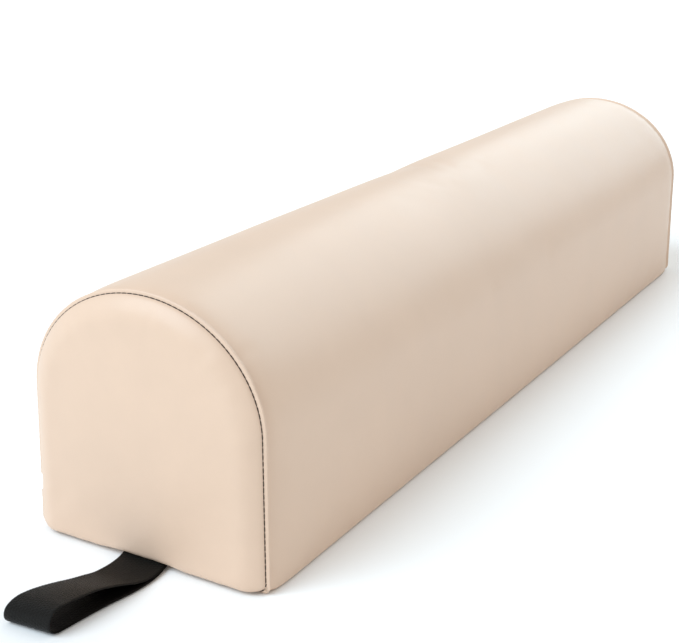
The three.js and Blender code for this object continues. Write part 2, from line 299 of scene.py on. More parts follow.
@once
def webbing_finish(settings):
    """Black twill webbing: the yarns of the weave follow the band's own lengthwise and crosswise lay. The
    light yarns in its colour are partly painted highlight.
    """
    finish = Finish("twill_webbing", settings.colour, 0.35, Specular_IOR_Level=0.13)
    lay = finish.attribute("lay")
    along = finish.axis(lay, 0)
    across = finish.axis(lay, 1)
    pick = finish.wave(along * waves_per(0.9 * mm) + across * waves_per(3.5 * mm))
    yarn = finish.wave(across * waves_per(0.58 * mm))
    fuzz = finish.noise(4200.0, 2.0, 0.6)
    weave = finish.band(pick * yarn, -1.0, 1.0)
    # partly painted highlight: the weave's colour runs up to 3.6 times the webbing's own, so the light yarns
    # stand in for glints on the weave
    finish.feed(
        "Base Color",
        finish.tint(weave * 0.7 + fuzz * 0.3, shade(settings.colour, 0.4), shade(settings.colour, 3.6)),
    )
    finish.feed("Roughness", fuzz * 0.2 + 0.25)
    finish.feed("Normal", finish.relief(weave * 0.8 + fuzz * 0.2, 0.22 * mm, 1.0))
    return finish.material


@once
def tape_finish(settings):
    """Woven polyester tape with a fine cross rib."""
    finish = Finish("tape_cloth", settings.tape, 0.8, Sheen_Weight=0.25)
    place = finish.place()
    rib = finish.wave(finish.axis(place, 0) * waves_per(0.7 * mm))
    row = finish.wave(finish.axis(place, 2) * waves_per(0.9 * mm))
    weave = finish.band(rib * row, -1.0, 1.0)
    finish.feed("Base Color", finish.tint(weave, shade(settings.tape, 0.82), shade(settings.tape, 1.1)))
    finish.feed("Normal", finish.relief(weave, 0.12 * mm, 0.8))
    return finish.material


@once
def coil_finish(settings):
    """Smooth dyed nylon monofilament."""
    finish = Finish("coil_nylon", settings.coil, 0.32, Coat_Weight=0.1)
    cloud = finish.noise(400.0)
    finish.feed("Base Color", finish.tint(cloud, shade(settings.coil, 0.92), shade(settings.coil, 1.08)))
    finish.feed("Roughness", cloud * 0.12 + 0.26)
    return finish.material


@once
def metal_finish(settings):
    """Satin nickel plate with faint handling marks."""
    finish = Finish("satin_nickel", settings.metal, 0.28, 1.0)
    cloud = finish.noise(260.0, 3.0)
    marks = finish.noise(900.0, 2.0, 0.6, finish.place((1.0, 1.0, 9.0)))
    wear = finish.band(marks, 0.62, 0.75)
    finish.feed("Base Color", finish.tint(cloud, shade(settings.metal, 0.93), shade(settings.metal, 1.05)))
    finish.feed("Roughness", cloud * 0.12 + wear * 0.14 + 0.2)
    finish.feed("Normal", finish.relief(marks, 0.02 * mm, 0.4))
    return finish.material


@once
def foam_finish():
    """Open-celled cream foam."""
    colour = (0.87, 0.79, 0.58)
    finish = Finish("open_foam", colour, 0.95)
    pores = finish.cells(900.0)
    depth = finish.band(pores, 0.0, 0.6)
    finish.feed("Base Color", finish.tint(depth, shade(colour, 1.05), shade(colour, 0.82)))
    finish.feed("Normal", finish.relief(pores, 0.5 * mm, 0.8))
    return finish.material


@once
def wadding_finish():
    """Soft white fibre wadding."""
    colour = (0.9, 0.9, 0.88)
    finish = Finish("fibre_wadding", colour, 1.0, Sheen_Weight=0.5)
    fibre = finish.noise(700.0, 4.0, 0.7)
    finish.feed("Base Color", finish.tint(fibre, shade(colour, 0.85), shade(colour, 1.05)))
    finish.feed("Normal", finish.relief(fibre, 0.8 * mm, 0.7))
    return finish.material


# Meshes


def make_mesh(name, points, faces, material=None):
    """A smooth mesh object in the scene."""
    mesh = bpy.data.meshes.new(name)
    mesh.from_pydata(np.asarray(points, float).reshape(-1, 3).tolist(), [], [list(face) for face in faces])
    mesh.update()
    mesh.shade_smooth()
    if material:
        mesh.materials.append(material)
    piece = bpy.data.objects.new(name, mesh)
    bpy.context.scene.collection.objects.link(piece)
    return piece


def fit(piece, body, slot, *nodes):
    """Hands a finished piece to its body and hides the solids that it stands for. The slot is not used."""
    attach(piece, body)
    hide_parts(*nodes)
    return piece


def lattice(rows, columns, closed=False, start=0):
    """Quads over a grid of points stored row by row. A closed grid joins its last column to its first."""
    row = np.arange(rows - 1)[:, None]
    column = np.arange(columns if closed else columns - 1)[None, :]
    ahead = (column + 1) % columns
    here = row * columns
    quads = np.stack([here + column, here + ahead, here + columns + ahead, here + columns + column], -1)
    return (quads.reshape(-1, 4) + start).tolist()


def tube_faces(rows, columns):
    """Quads round a tube of rings, then a cap for each end."""
    last = (rows - 1) * columns
    return lattice(rows, columns, True) + [list(range(columns))[::-1], list(range(last, last + columns))]


def dome_faces(rows, columns, start=0):
    """Quads over rings that shrink to a middle, and a fan round the middle's point, which comes last."""
    last = start + (rows - 1) * columns
    tip = start + rows * columns
    fan = [[last + i, last + (i + 1) % columns, tip] for i in range(columns)]
    return lattice(rows, columns, True, start) + fan


def facing(points, faces, outwards):
    """The faces, turned over if the first does not face the given way."""
    corners = np.asarray(points, float).reshape(-1, 3)[faces[0]]
    normal = np.cross(corners[1] - corners[0], corners[2] - corners[0])
    return faces if normal @ np.asarray(outwards, float) > 0 else [face[::-1] for face in faces]


@contextmanager
def reworked(piece):
    """A piece's mesh, open for edits and written back after them."""
    work = bmesh.new()
    work.from_mesh(piece.data)
    yield work
    work.to_mesh(piece.data)
    work.free()


def thicken(piece, thickness):
    """Gives a sheet its thickness on its inner side."""
    sheet = piece.modifiers.new("thickness", "SOLIDIFY")
    sheet.thickness = thickness
    sheet.offset = -1
    apply_modifiers(piece)


def apply_modifiers(piece):
    """Makes the result of a piece's modifiers its own mesh."""
    graph = bpy.context.evaluated_depsgraph_get()
    made = bpy.data.meshes.new_from_object(piece.evaluated_get(graph))
    piece.modifiers.clear()
    old = piece.data
    piece.data = made
    bpy.data.meshes.remove(old)


def through(at, knots, values):
    """A smooth curve through a few points, read at the given places."""
    knots = np.asarray(knots, float)
    values = np.asarray(values, float)
    at = np.clip(at, knots[0], knots[-1])
    slope = np.gradient(values, knots, axis=0)
    i = np.clip(np.searchsorted(knots, at, side="right") - 1, 0, len(knots) - 2)
    step = knots[i + 1] - knots[i]
    t = (at - knots[i]) / step
    if values.ndim > 1:
        t = t[..., None]
        step = step[..., None]
    return (
        (2 * t**3 - 3 * t**2 + 1) * values[i] + (t**3 - 2 * t**2 + t) * step * slope[i]
        + (3 * t**2 - 2 * t**3) * values[i + 1] + (t**3 - t**2) * step * slope[i + 1]
    )


def distances(points):
    """How far along a line of points each of them is."""
    return np.concatenate([[0], np.cumsum(np.linalg.norm(np.diff(points, axis=0), axis=1))])


def sampled(at, run, table):
    """The rows of a table, read at places along its line."""
    return np.stack([np.interp(at, run, column) for column in table.T], -1)


def unit(vectors):
    """Rows of vectors, each made one long."""
    return vectors / np.linalg.norm(vectors, axis=1)[:, None]


def soft_step(value, low, high):
    """0 below the lower bound, 1 above the upper one, with an even run between them."""
    t = np.clip((np.asarray(value, float) - low) / (high - low), 0, 1)
    return t * t * (3 - 2 * t)


def bumps(places, wavelengths, seed):
    """A smooth run of uneven waves along a line, from -1 to 1."""
    picks = np.random.default_rng(seed)
    total = np.zeros_like(places)
    for wavelength in wavelengths:
        swell = np.sin(2 * np.pi * (places / (wavelength * 4.3) + picks.random()))
        turn = 2 * np.pi * (places / wavelength + picks.random())
        total += (0.6 + 0.4 * swell) * np.sin(turn + 1.5 * swell)
    return total / len(wavelengths)


# The cover's cross-section


class Section:
    """The closed outline: up the front wall, over the arch, down the rear wall and back under the base."""

    corner_steps = 6
    arch_steps = 156
    wall_steps = 60
    zip_steps = 7
    strip_steps = 14
    base_steps = 64
    corner_share = 0.6

    def __init__(self, settings):
        self.settings = settings
        self.hem_high = fold_high()
        self.hem_low = strip_high.z
        turns = [
            self.corner_steps, self.wall_steps, self.arch_steps, self.wall_steps,
            self.zip_steps, self.strip_steps, self.corner_steps, self.corner_steps, self.base_steps,
            self.corner_steps,
        ]
        marks = np.concatenate([[0], np.cumsum(turns)])
        self.count = int(marks[-1])
        self.hem_mark = int(marks[4])
        self.strip_mark = int(marks[5])
        self.rear_mark = int(marks[7])
        self.hem_radius = settings.skin
        middle = self.outline(0.0, 0.0, 3.5 * mm)
        steps = np.linalg.norm(np.roll(middle, -1, axis=0) - middle, axis=1)
        self.run = np.concatenate([[0], np.cumsum(steps)[:-1]])

    def wall(self, z, inset):
        return half_width - inset - self.settings.lean * np.clip(z / wall_height, 0, 1)

    def corner(self, side, inset, foot, radius, start, stop):
        """Points of a lower corner, where 0 faces out of the wall and 1 faces down."""
        steps = self.corner_steps
        angle = np.linspace(start, stop, steps + 1)[:steps] * np.pi / 2
        centre = self.wall(foot + radius, inset) - radius
        y = side * (centre + radius * np.cos(angle))
        return np.stack([y, foot + radius - radius * np.sin(angle)], -1)

    def outline(self, inset, foot, radius, hems=True):
        """Points of the outline, drawn in by an inset, on a foot of a given height.

        The lower corners are rounded. The points keep to the hems beside the zip unless told otherwise.
        """
        low = foot + radius
        share = 1 - self.corner_share
        level = lambda start, stop, steps: np.linspace(start, stop, steps + 1)[:-1]
        flat = lambda z, side: np.stack([side * self.wall(z, inset), z], -1)
        front = level(low, wall_height, self.wall_steps)
        high_rear = level(wall_height, self.hem_high + self.hem_radius, self.wall_steps)
        zip_rear = level(self.hem_high + self.hem_radius, self.hem_low - self.hem_radius, self.zip_steps)
        low_rear = level(self.hem_low - self.hem_radius, low, self.strip_steps)
        if not hems:
            high_rear = level(wall_height, low, self.wall_steps + self.zip_steps + self.strip_steps)
            zip_rear = low_rear = high_rear[:0]
        turn = level(0, np.pi, self.arch_steps)
        spring = self.wall(wall_height, inset)
        rise = top - wall_height - inset
        arch = np.stack([-spring * np.cos(turn), wall_height + rise * np.sin(turn)], -1)
        reach = self.wall(low, inset) - radius
        base = level(reach, -reach, self.base_steps)
        return np.concatenate([
            self.corner(-1, inset, foot, radius, share, 0),
            flat(front, -1),
            arch,
            flat(high_rear, 1),
            flat(zip_rear, 1),
            flat(low_rear, 1),
            self.corner(1, inset, foot, radius, 0, share),
            self.corner(1, inset, foot, radius, share, 1),
            np.stack([base, np.full_like(base, foot)], -1),
            self.corner(-1, inset, foot, radius, 1, share),
        ])

    def outward(self, ring):
        """The outward direction at each point of a closed ring."""
        along = np.roll(ring, -1, axis=0) - np.roll(ring, 1, axis=0)
        along /= np.linalg.norm(along, axis=1)[:, None] + 1e-12
        return np.stack([-along[:, 1], along[:, 0]], -1)


def zip_middle():
    low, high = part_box("zip_bottom_stop")
    return (low.z + high.z) / 2


def fold_high():
    """Height of the hem above the zip: as far over the zip's middle as the strip's hem is below it."""
    return 2 * zip_middle() - strip_high.z


def strap_gap(y):
    """1 where the carry loop passes through the lower seam of its end, 0 elsewhere."""
    middle = (tail_low.y + tail_high.y) / 2
    away = np.abs(y - middle) - (tail_high.y - tail_low.y) / 2
    return 1 - soft_step(away, 0.6 * mm, 15 * mm)


# How the cover is drawn in towards an end seam: distance from the seam, and inset
DRAW_IN = (
    (0.0, 0.2, 0.5, 0.9, 1.3, 2.0, 3.0, 4.6, 7.0, 11.0, 16.0, 23.0, 32.0),
    (3.1, 1.5, 0.7, 0.5, 0.8, 1.6, 1.85, 1.45, 0.85, 0.37, 0.12, 0.02, 0.0),
)
# How an end sags over its lower seam: distance in from the seam, and height of the lower edge
END_FOOT = (
    (0.0, 1.0, 2.0, 3.5, 5.0, 7.0, 9.0, 12.0, 15.0, 18.0),
    (2.1, 1.9, 1.8, 1.75, 1.9, 2.5, 3.5, 5.4, 7.7, 10.2),
)
SEAM_FOOT = 1.8 * mm
SEAM_RADIUS = 4.6 * mm
EDGE_RADIUS = 2.6 * mm
FLANGE = (0.6 * mm, 2.5 * mm, 6 * mm)  # depths of the edge that an end seam turns in
SEAM_TUCK = 2.4 * mm  # the tuck that the table of insets is written for
STITCH_BITE = 0.9 * mm  # distance from the seam at which its stitches pull hardest
STITCH_PULL = 0.16 * mm
STRAP_REACH = 12 * mm  # height below which the strap's opening counts


def stations():
    """Places along the bolster, from one end seam to the other, close together beside the seams."""
    near = np.array([
        0, 0.12, 0.3, 0.5, 0.7, 0.9, 1.15, 1.4, 1.8, 2.3, 2.8, 3.5, 4.2, 5.2, 6.5, 8, 10, 12.5, 15, 18, 22, 27,
    ]) * mm
    middle = np.linspace(32 * mm, seam_x, 68)
    half = np.concatenate([near, middle])
    return np.concatenate([half - seam_x, (seam_x - half)[::-1][1:]])


class Cover:
    """The whole skin of the bolster, which the panels are cut from."""

    def __init__(self, settings):
        self.settings = settings
        self.section = Section(settings)
        self.x = stations()
        self.rings = np.stack([self.ring(x) for x in self.x])

    def ring(self, x):
        """The skin's outline at a place along the bolster, with the marks of the end seam."""
        section = self.section
        settings = self.settings
        away = max(seam_x - abs(x), 0.0)
        drawn = through(np.array([away / mm]), *DRAW_IN)[0] * mm * settings.seam_tuck / SEAM_TUCK
        ease = soft_step(away, 0, 9 * mm)
        foot = SEAM_FOOT * (1 - soft_step(away, 0, 1.5 * mm))
        radius = SEAM_RADIUS + (EDGE_RADIUS - SEAM_RADIUS) * ease
        points = section.outline(drawn, foot, radius)
        end = 0 if x < 0 else 1
        rhythm = 0.5 + 0.5 * np.cos(2 * np.pi * section.run / settings.stitch)
        tight = rhythm * math.exp(-((away - STITCH_BITE) / STITCH_BITE) ** 2) * STITCH_PULL
        waves = bumps(section.run, (11 * mm, 17 * mm, 29 * mm), settings.seed + end)
        soft = waves * settings.pucker * math.exp(-away / (9 * mm)) * (1 - math.exp(-away / (1.5 * mm)))
        on_base = soft_step(points[:, 1], 1.5 * mm, 9 * mm)
        points += section.outward(points) * ((soft - tight) * on_base)[:, None]
        if x < 0:
            opening = strap_gap(points[:, 0]) * (points[:, 1] < STRAP_REACH)
            points[:, 1] -= opening * np.minimum(points[:, 1], foot)
        points[:, 1] = np.maximum(points[:, 1], 0)
        return points

    def skin(self):
        """Every ring as points in space."""
        return self.solid(self.x, self.rings)

    @staticmethod
    def solid(x, rings):
        wide = np.broadcast_to(np.asarray(x)[:, None], rings.shape[:2])
        return np.concatenate([wide[..., None], rings], -1)

    def flanged(self, points):
        """The skin with its edges turned in at both end seams."""
        first, last = points[0].copy(), points[-1].copy()
        turned = []
        for edge, side in ((first, -1), (last, 1)):
            ring = edge[:, 1:]
            inwards = -self.section.outward(ring)
            for depth in FLANGE:
                inner = edge.copy()
                inner[:, 1:] = ring + inwards * depth
                inner[:, 0] = side * (seam_x - 0.1 * mm)
                inner[:, 2] = np.maximum(inner[:, 2], np.minimum(edge[:, 2], 0.0))
                turned.append(inner)
        return np.concatenate([np.stack(turned[:3][::-1]), points, np.stack(turned[3:])])


class EndFace:
    """The crowned skin of an end, as rings from its seam to its middle. It faces +X."""

    rim = np.array([
        0, 0.1, 0.25, 0.45, 0.7, 1, 1.4, 1.9, 2.5, 3.2, 4, 5, 6.2, 7.6, 9.2, 11, 13, 15.5, 18,
    ]) * mm
    middle_rings = 26
    stitch_pull = 0.14 * mm
    strap_lift = 2.1 * mm  # how far the lower edge rises over the carry loop
    strap_reach = 14 * mm

    def __init__(self, settings, cover, has_strap):
        section = cover.section
        start = settings.seam_tuck + 0.35 * mm
        waves = bumps(section.run, (13 * mm, 19 * mm, 31 * mm), settings.seed + 5 + has_strap)
        rhythm = 0.5 + 0.5 * np.cos(2 * np.pi * section.run / settings.stitch)
        rings = []
        for inwards in self.rim:
            radius = SEAM_RADIUS - 0.3 * mm + 0.12 * inwards
            foot = through(np.array([inwards / mm]), *END_FOOT)[0] * mm
            outline = section.outline(start + inwards, foot, radius, hems=False)
            share = min(inwards / settings.end_rim, 1)
            lip = min(inwards / (1.3 * mm), 1)
            height = settings.end_rise * (0.78 * (1 - (1 - share) ** 2) + 0.12 * math.sqrt(lip * (2 - lip)))
            soft = settings.pucker * waves * math.sin(math.pi * min(inwards / (16 * mm), 1))
            tight = self.stitch_pull * rhythm * math.exp(-((inwards - 0.5 * mm) / (0.8 * mm)) ** 2)
            lift = np.full(section.count, height) + (soft - tight) * (inwards > 0)
            rings.append(np.concatenate([(seam_x + 0.12 * mm + lift)[:, None], outline], -1))
        rings = np.stack(rings)
        if has_strap:
            opening = strap_gap(rings[..., 1]) * (rings[..., 2] < self.strap_reach)
            lift = self.strap_lift * np.exp(-(((rings[..., 0] - seam_x) / (7 * mm)) ** 2))
            rings[..., 2] += opening * lift * np.exp(-np.maximum(rings[..., 2] - SEAM_FOOT, 0) / (5 * mm))
        edge = rings[-1]
        centre = np.array([edge[:, 0].mean(), 0, edge[:, 2].mean() + 2 * mm])
        share = (np.arange(1, self.middle_rings + 1) / self.middle_rings)[:, None]
        inner = edge + (centre - edge) * share[..., None]
        swell = 1 - (1 - share) ** 2
        inner[..., 0] = edge[:, 0] * (1 - share) + centre[0] * share + 0.1 * settings.end_rise * swell
        self.points = np.concatenate([rings, inner[:-1]])
        self.tip = inner[-1].mean(axis=0)


CLOTH = {
    "quality": 6, "mass": 0.35, "tension_stiffness": 30, "compression_stiffness": 30, "shear_stiffness": 12,
    "bending_stiffness": 3, "tension_damping": 12, "air_damping": 2, "use_pressure": True,
    "uniform_pressure_force": 4, "vertex_group_mass": "held",
}
SETTLE_STEPS = 20
END_SHARE = 0.6  # how much of its settling an end keeps


def settle(points, faces, held, slack, hold):
    """Lets cloth under a light pressure settle between the points that are held. Gives how far each moves."""
    piece = make_mesh("settling", points, faces)
    group = piece.vertex_groups.new(name="held")
    group.add(np.nonzero(held)[0].tolist(), 1.0, "REPLACE")
    cloth = piece.modifiers.new("cloth", "CLOTH")
    for name, value in CLOTH.items():
        setattr(cloth.settings, name, value)
    cloth.settings.shrink_min = -slack
    cloth.settings.effector_weights.gravity = 0
    cloth.collision_settings.use_collision = False
    cloth.collision_settings.use_self_collision = False
    cloth.point_cache.frame_start = 1
    cloth.point_cache.frame_end = SETTLE_STEPS
    scene = bpy.context.scene
    for step in range(1, SETTLE_STEPS + 1):
        scene.frame_set(step)
    graph = bpy.context.evaluated_depsgraph_get()
    settled = piece.evaluated_get(graph).to_mesh()
    after = np.zeros(len(settled.vertices) * 3)
    settled.vertices.foreach_get("co", after)
    moved = after.reshape(-1, 3) - points
    scene.frame_set(1)
    mesh = piece.data
    bpy.data.objects.remove(piece)
    bpy.data.meshes.remove(mesh)
    share = np.linalg.norm(moved, axis=1)[:, None] / hold
    return moved * np.tanh(share) / np.maximum(share, 1e-9)


def settled_cover(settings):
    """The cover and its two ends after the cloth has settled over the foam."""
    cover = Cover(settings)
    ends = [EndFace(settings, cover, True), EndFace(settings, cover, False)]
    skin = cover.skin()
    section = cover.section
    columns = np.arange(0, section.count, 4)
    beside_seam = 12  # rows of points that crowd beside a seam, which the cloth leaves out
    rows = np.concatenate([[0], np.arange(beside_seam, len(cover.x) - beside_seam), [len(cover.x) - 1]])
    tube = skin[np.ix_(rows, columns)]
    held = np.zeros(tube.shape[:2])
    held[0] = held[-1] = 1
    height = tube[..., 2]
    held[height < 1.2 * mm] = 1
    rear = tube[..., 1] > 0.8 * half_width
    held[rear & (np.abs(height - (section.hem_high + section.hem_low) / 2) < 8 * mm)] = 1
    count = len(columns)
    points = [tube.reshape(-1, 3)]
    faces = lattice(len(rows), count, True)
    hold = [held.ravel()]
    inner = np.arange(9, len(ends[0].points), 3)
    total = len(rows) * count
    places = []
    for side, end in zip((-1, 1), ends):
        rings = end.points[np.ix_(inner, columns)].copy()
        tip = end.tip.copy()
        rings[..., 0] *= side
        tip[0] *= side
        edge = 0 if side < 0 else (len(rows) - 1) * count
        ahead = [(i + 1) % count for i in range(count)]
        bridge = [[edge + i, edge + ahead[i], total + ahead[i], total + i] for i in range(count)]
        turned = bridge + dome_faces(len(inner), count, total)
        faces += turned if side > 0 else [face[::-1] for face in turned]
        points += [rings.reshape(-1, 3), tip[None]]
        hold += [np.zeros(len(inner) * count + 1)]
        places.append((total, total + len(inner) * count))
        total += len(inner) * count + 1
    points = np.concatenate(points)
    faces = facing(points, faces, [0, -1, 0])
    moved = settle(points, faces, np.concatenate(hold), 0.002, settings.hold)
    field = eased(moved[: len(rows) * count].reshape(len(rows), count, 3), settings.creases)
    skin = skin + spread(field, rows, len(cover.x), columns, section.count)
    skin[..., 2] = np.maximum(skin[..., 2], 0)
    settled_ends = []
    for side, end, (start, tip_at) in zip((-1, 1), ends, places):
        field = moved[start:tip_at].reshape(len(inner), count, 3)
        field = eased(np.concatenate([np.zeros((1, count, 3)), field]), settings.creases)
        shift = spread(field, np.concatenate([[0], inner]), len(end.points), columns, section.count)
        shift[..., 0] *= side
        settled_ends.append(end.points + shift * END_SHARE)
        end.tip = end.tip + moved[tip_at] * np.array([side, 1, 1]) * END_SHARE
    return cover, skin, settled_ends, [end.tip for end in ends]


def eased(field, creases):
    """Moves with their fine creases faded, while the broad swell stays. The first and last rows are kept."""
    broad = field.copy()
    for _ in range(30):
        beside = np.roll(broad, 1, axis=1) + np.roll(broad, -1, axis=1)
        broad[1:-1] = broad[1:-1] * 0.4 + beside[1:-1] * 0.15 + (broad[2:] + broad[:-2]) * 0.15
    return broad + (field - broad) * creases


def spread(field, rows, all_rows, columns, all_columns):
    """Spreads moves known on a coarse grid, closed across, over every point of the fine one."""
    closed = np.concatenate([field, field[:, :1]], axis=1)
    across = np.concatenate([columns, [all_columns]])
    out = np.empty((all_rows, all_columns, 3))
    every_row, every_column = np.arange(all_rows), np.arange(all_columns)
    for axis in range(3):
        wide = np.stack([through(every_column, across, line) for line in closed[..., axis]])
        out[..., axis] = through(every_row, rows, wide)
    return out


SHAPES = {}


def cover_shapes(settings):
    """The settled cover, worked out once."""
    if not SHAPES:
        cover, skin, ends, tips = settled_cover(settings)
        SHAPES.update(cover=cover, skin=skin, ends=ends, tips=tips)
    return SHAPES


def cover_parts(context):
    """The cover's settings, its settled shapes and its cross-section."""
    settings = context.scene.bolster_cover
    shapes = cover_shapes(settings)
    return settings, shapes, shapes["cover"].section


def turned_foot(columns, depth=4.5 * mm):
    """Extra columns for a long seam's turned edge: inwards and up from the first of two given columns."""
    edge, beside = columns[:, 0], columns[:, 1]
    along = beside - edge
    along[:, 0] = 0
    along = unit(along)
    across = np.sign(-edge[:, 1]) * np.abs(along[:, 2])
    inwards = np.stack([np.zeros(len(edge)), across, np.abs(along[:, 1])], -1)
    return np.stack([edge + inwards * depth * share for share in (1.0, 0.5, 0.12)], 1)


HEM_DEPTH = 7.5 * mm


def hem_columns(edge, skin, upwards):
    """Extra columns for a hem beside the zip: a round fold, and the cloth turned back behind the face."""
    turns = np.linspace(0, np.pi, 8)[1:]
    way = 1 if upwards else -1
    columns = []
    for turn in turns:
        moved = edge.copy()
        moved[:, 1] -= skin * (1 - np.cos(turn))
        moved[:, 2] -= way * skin * np.sin(turn)
        columns.append(moved)
    back = columns[-1].copy()
    back[:, 2] += way * HEM_DEPTH
    return np.stack([*columns, back], 1)


def panel(name, points, settings, outwards, node):
    """A panel of the cover cut from a grid of skin points."""
    rows, columns = points.shape[:2]
    faces = lattice(rows, columns)
    middle = (rows // 2) * (columns - 1) + columns // 2
    faces = facing(points, faces[middle:] + faces[:middle], outwards)
    piece = make_mesh(name, points, faces, vinyl_finish(settings))
    thicken(piece, settings.skin)
    fit(piece, "cover", "vinyl", node)


# Operators


class BOLSTER_OT_body_panel(bpy.types.Operator):
    """Make the vinyl over the front wall, the arch and the rear wall down to the zip"""

    bl_idname = "bolster.body_panel"
    bl_label = "Body Panel"

    def execute(self, context):
        settings, shapes, section = cover_parts(context)
        skin = shapes["cover"].flanged(shapes["skin"])[:, : section.hem_mark + 1]
        hem = hem_columns(skin[:, -1], settings.skin, True)
        points = np.concatenate([turned_foot(skin[:, :2].copy()), skin, hem], 1)
        panel("body_cover", points, settings, [0, 0, 1], "body_panel")
        return {"FINISHED"}


class BOLSTER_OT_rear_strip(bpy.types.Operator):
    """Make the strip of the rear wall below the zip"""

    bl_idname = "bolster.rear_strip"
    bl_label = "Rear Strip"

    def execute(self, context):
        settings, shapes, section = cover_parts(context)
        skin = shapes["cover"].flanged(shapes["skin"])[:, section.strip_mark : section.rear_mark + 1]
        hem = hem_columns(skin[:, 0], settings.skin, False)[:, ::-1]
        foot = turned_foot(skin[:, -1:-3:-1].copy())[:, ::-1]
        points = np.concatenate([hem, skin, foot], 1)
        panel("rear_strip_cover", points, settings, [0, 1, 0], "rear_strip")
        return {"FINISHED"}


class BOLSTER_OT_base_panel(bpy.types.Operator):
    """Make the flat base, with its edges brought up to the seams"""

    bl_idname = "bolster.base_panel"
    bl_label = "Base Panel"

    def execute(self, context):
        settings, shapes, section = cover_parts(context)
        skin = shapes["cover"].flanged(shapes["skin"])
        skin = np.concatenate([skin[:, section.rear_mark :], skin[:, :1]], 1)
        rear = turned_foot(skin[:, :2].copy())
        front = turned_foot(skin[:, -1:-3:-1].copy())[:, ::-1]
        clear = 0.15 * mm
        rear[..., 1] -= clear
        front[..., 1] += clear
        points = np.concatenate([rear, skin, front], 1)
        panel("base_cover", points, settings, [0, 0, -1], "base_panel")
        return {"FINISHED"}


class BOLSTER_OT_end_panels(bpy.types.Operator):
    """Make the two crowned ends"""

    bl_idname = "bolster.end_panels"
    bl_label = "End Panels"

    def execute(self, context):
        settings, shapes, section = cover_parts(context)
        for index, (name, side) in enumerate((("strap_end", -1), ("plain_end", 1))):
            rings = shapes["ends"][index]
            edge = rings[0]
            inwards = -section.outward(edge[:, 1:])
            flange = []
            for depth in FLANGE[::-1]:
                turned = edge.copy()
                turned[:, 1:] += inwards * depth
                flange.append(turned)
            rings = np.concatenate([np.stack(flange), rings])
            points = np.concatenate([rings.reshape(-1, 3), shapes["tips"][index][None]])
            faces = dome_faces(len(rings), section.count)
            points[:, 0] *= side
            faces = facing(points, faces[::-1], [side, 0, 0])
            piece = make_mesh(name + "_cover", points, faces, vinyl_finish(settings))
            thicken(piece, settings.skin)
            fit(piece, "cover", "vinyl", name + "_panel")
        return {"FINISHED"}


THREAD_WIDTH = 0.78 * mm
THREAD_DEPTH = 0.7 * mm
THREAD_LIFT = 0.42 * mm  # how far the thread's middle stands out of the bottom of the seam


def bead_row(name, centres, along, outward, length, width, depth, material):
    """A row of short rounded stitches at the given places."""
    rings, sides = 5, 8
    turn = np.linspace(0, 2 * np.pi, sides, endpoint=False)
    place = np.linspace(-1, 1, rings)
    swell = np.sqrt(np.clip(1 - place**6, 0, 1)) * 0.65 + 0.35
    across = np.cross(along, outward)
    points = (
        centres[:, None, None]
        + along[:, None, None] * (place * length / 2)[None, :, None, None]
        + across[:, None, None] * (swell[:, None] * np.cos(turn) * width / 2)[None, :, :, None]
        + outward[:, None, None] * (swell[:, None] * np.sin(turn) * depth / 2)[None, :, :, None]
    )
    bead = tube_faces(rings, sides)
    starts = range(0, len(centres) * rings * sides, rings * sides)
    faces = [[start + corner for corner in face] for start in starts for face in bead]
    piece = make_mesh(name, points, faces, material)
    tidy_normals(piece)
    return piece


def tidy_normals(piece):
    """Turns every closed body of a mesh to face outwards."""
    with reworked(piece) as work:
        bmesh.ops.recalc_face_normals(work, faces=work.faces)


class BOLSTER_OT_seam_threads(bpy.types.Operator):
    """Sew each end panel to the body with a row of stitches down in the seam"""

    bl_idname = "bolster.seam_threads"
    bl_label = "Seam Threads"

    def execute(self, context):
        settings, shapes, section = cover_parts(context)
        for name, side, row in (("strap_end", -1, 0), ("plain_end", 1, -1)):
            edge = shapes["skin"][row][:, 1:]
            loop = np.concatenate([edge, edge[:1]])
            run = distances(loop)
            count = round(run[-1] / settings.stitch)
            at = (np.arange(count) + 0.5) * run[-1] / count
            outward = section.outward(edge)
            outward = np.concatenate([outward, outward[:1]])
            centre = sampled(at, run, loop)
            out = sampled(at, run, outward)
            keep = np.ones(count, bool)
            if side < 0:
                keep = ~((strap_gap(centre[:, 0]) > 0.02) & (centre[:, 1] < STRAP_REACH))
            centre, out = centre[keep], out[keep]
            zero = np.zeros((len(centre), 1))
            centres = np.concatenate([zero + side * (seam_x + 0.02 * mm), centre + out * THREAD_LIFT], 1)
            outs = unit(np.concatenate([zero, out], 1))
            along = np.stack([zero[:, 0], -outs[:, 2], outs[:, 1]], -1)
            piece = bead_row(
                name + "_stitches", centres, along, outs, settings.stitch, THREAD_WIDTH, THREAD_DEPTH,
                thread_finish(settings),
            )
            fit(piece, "cover", "thread", name + "_seam_thread")
        return {"FINISHED"}


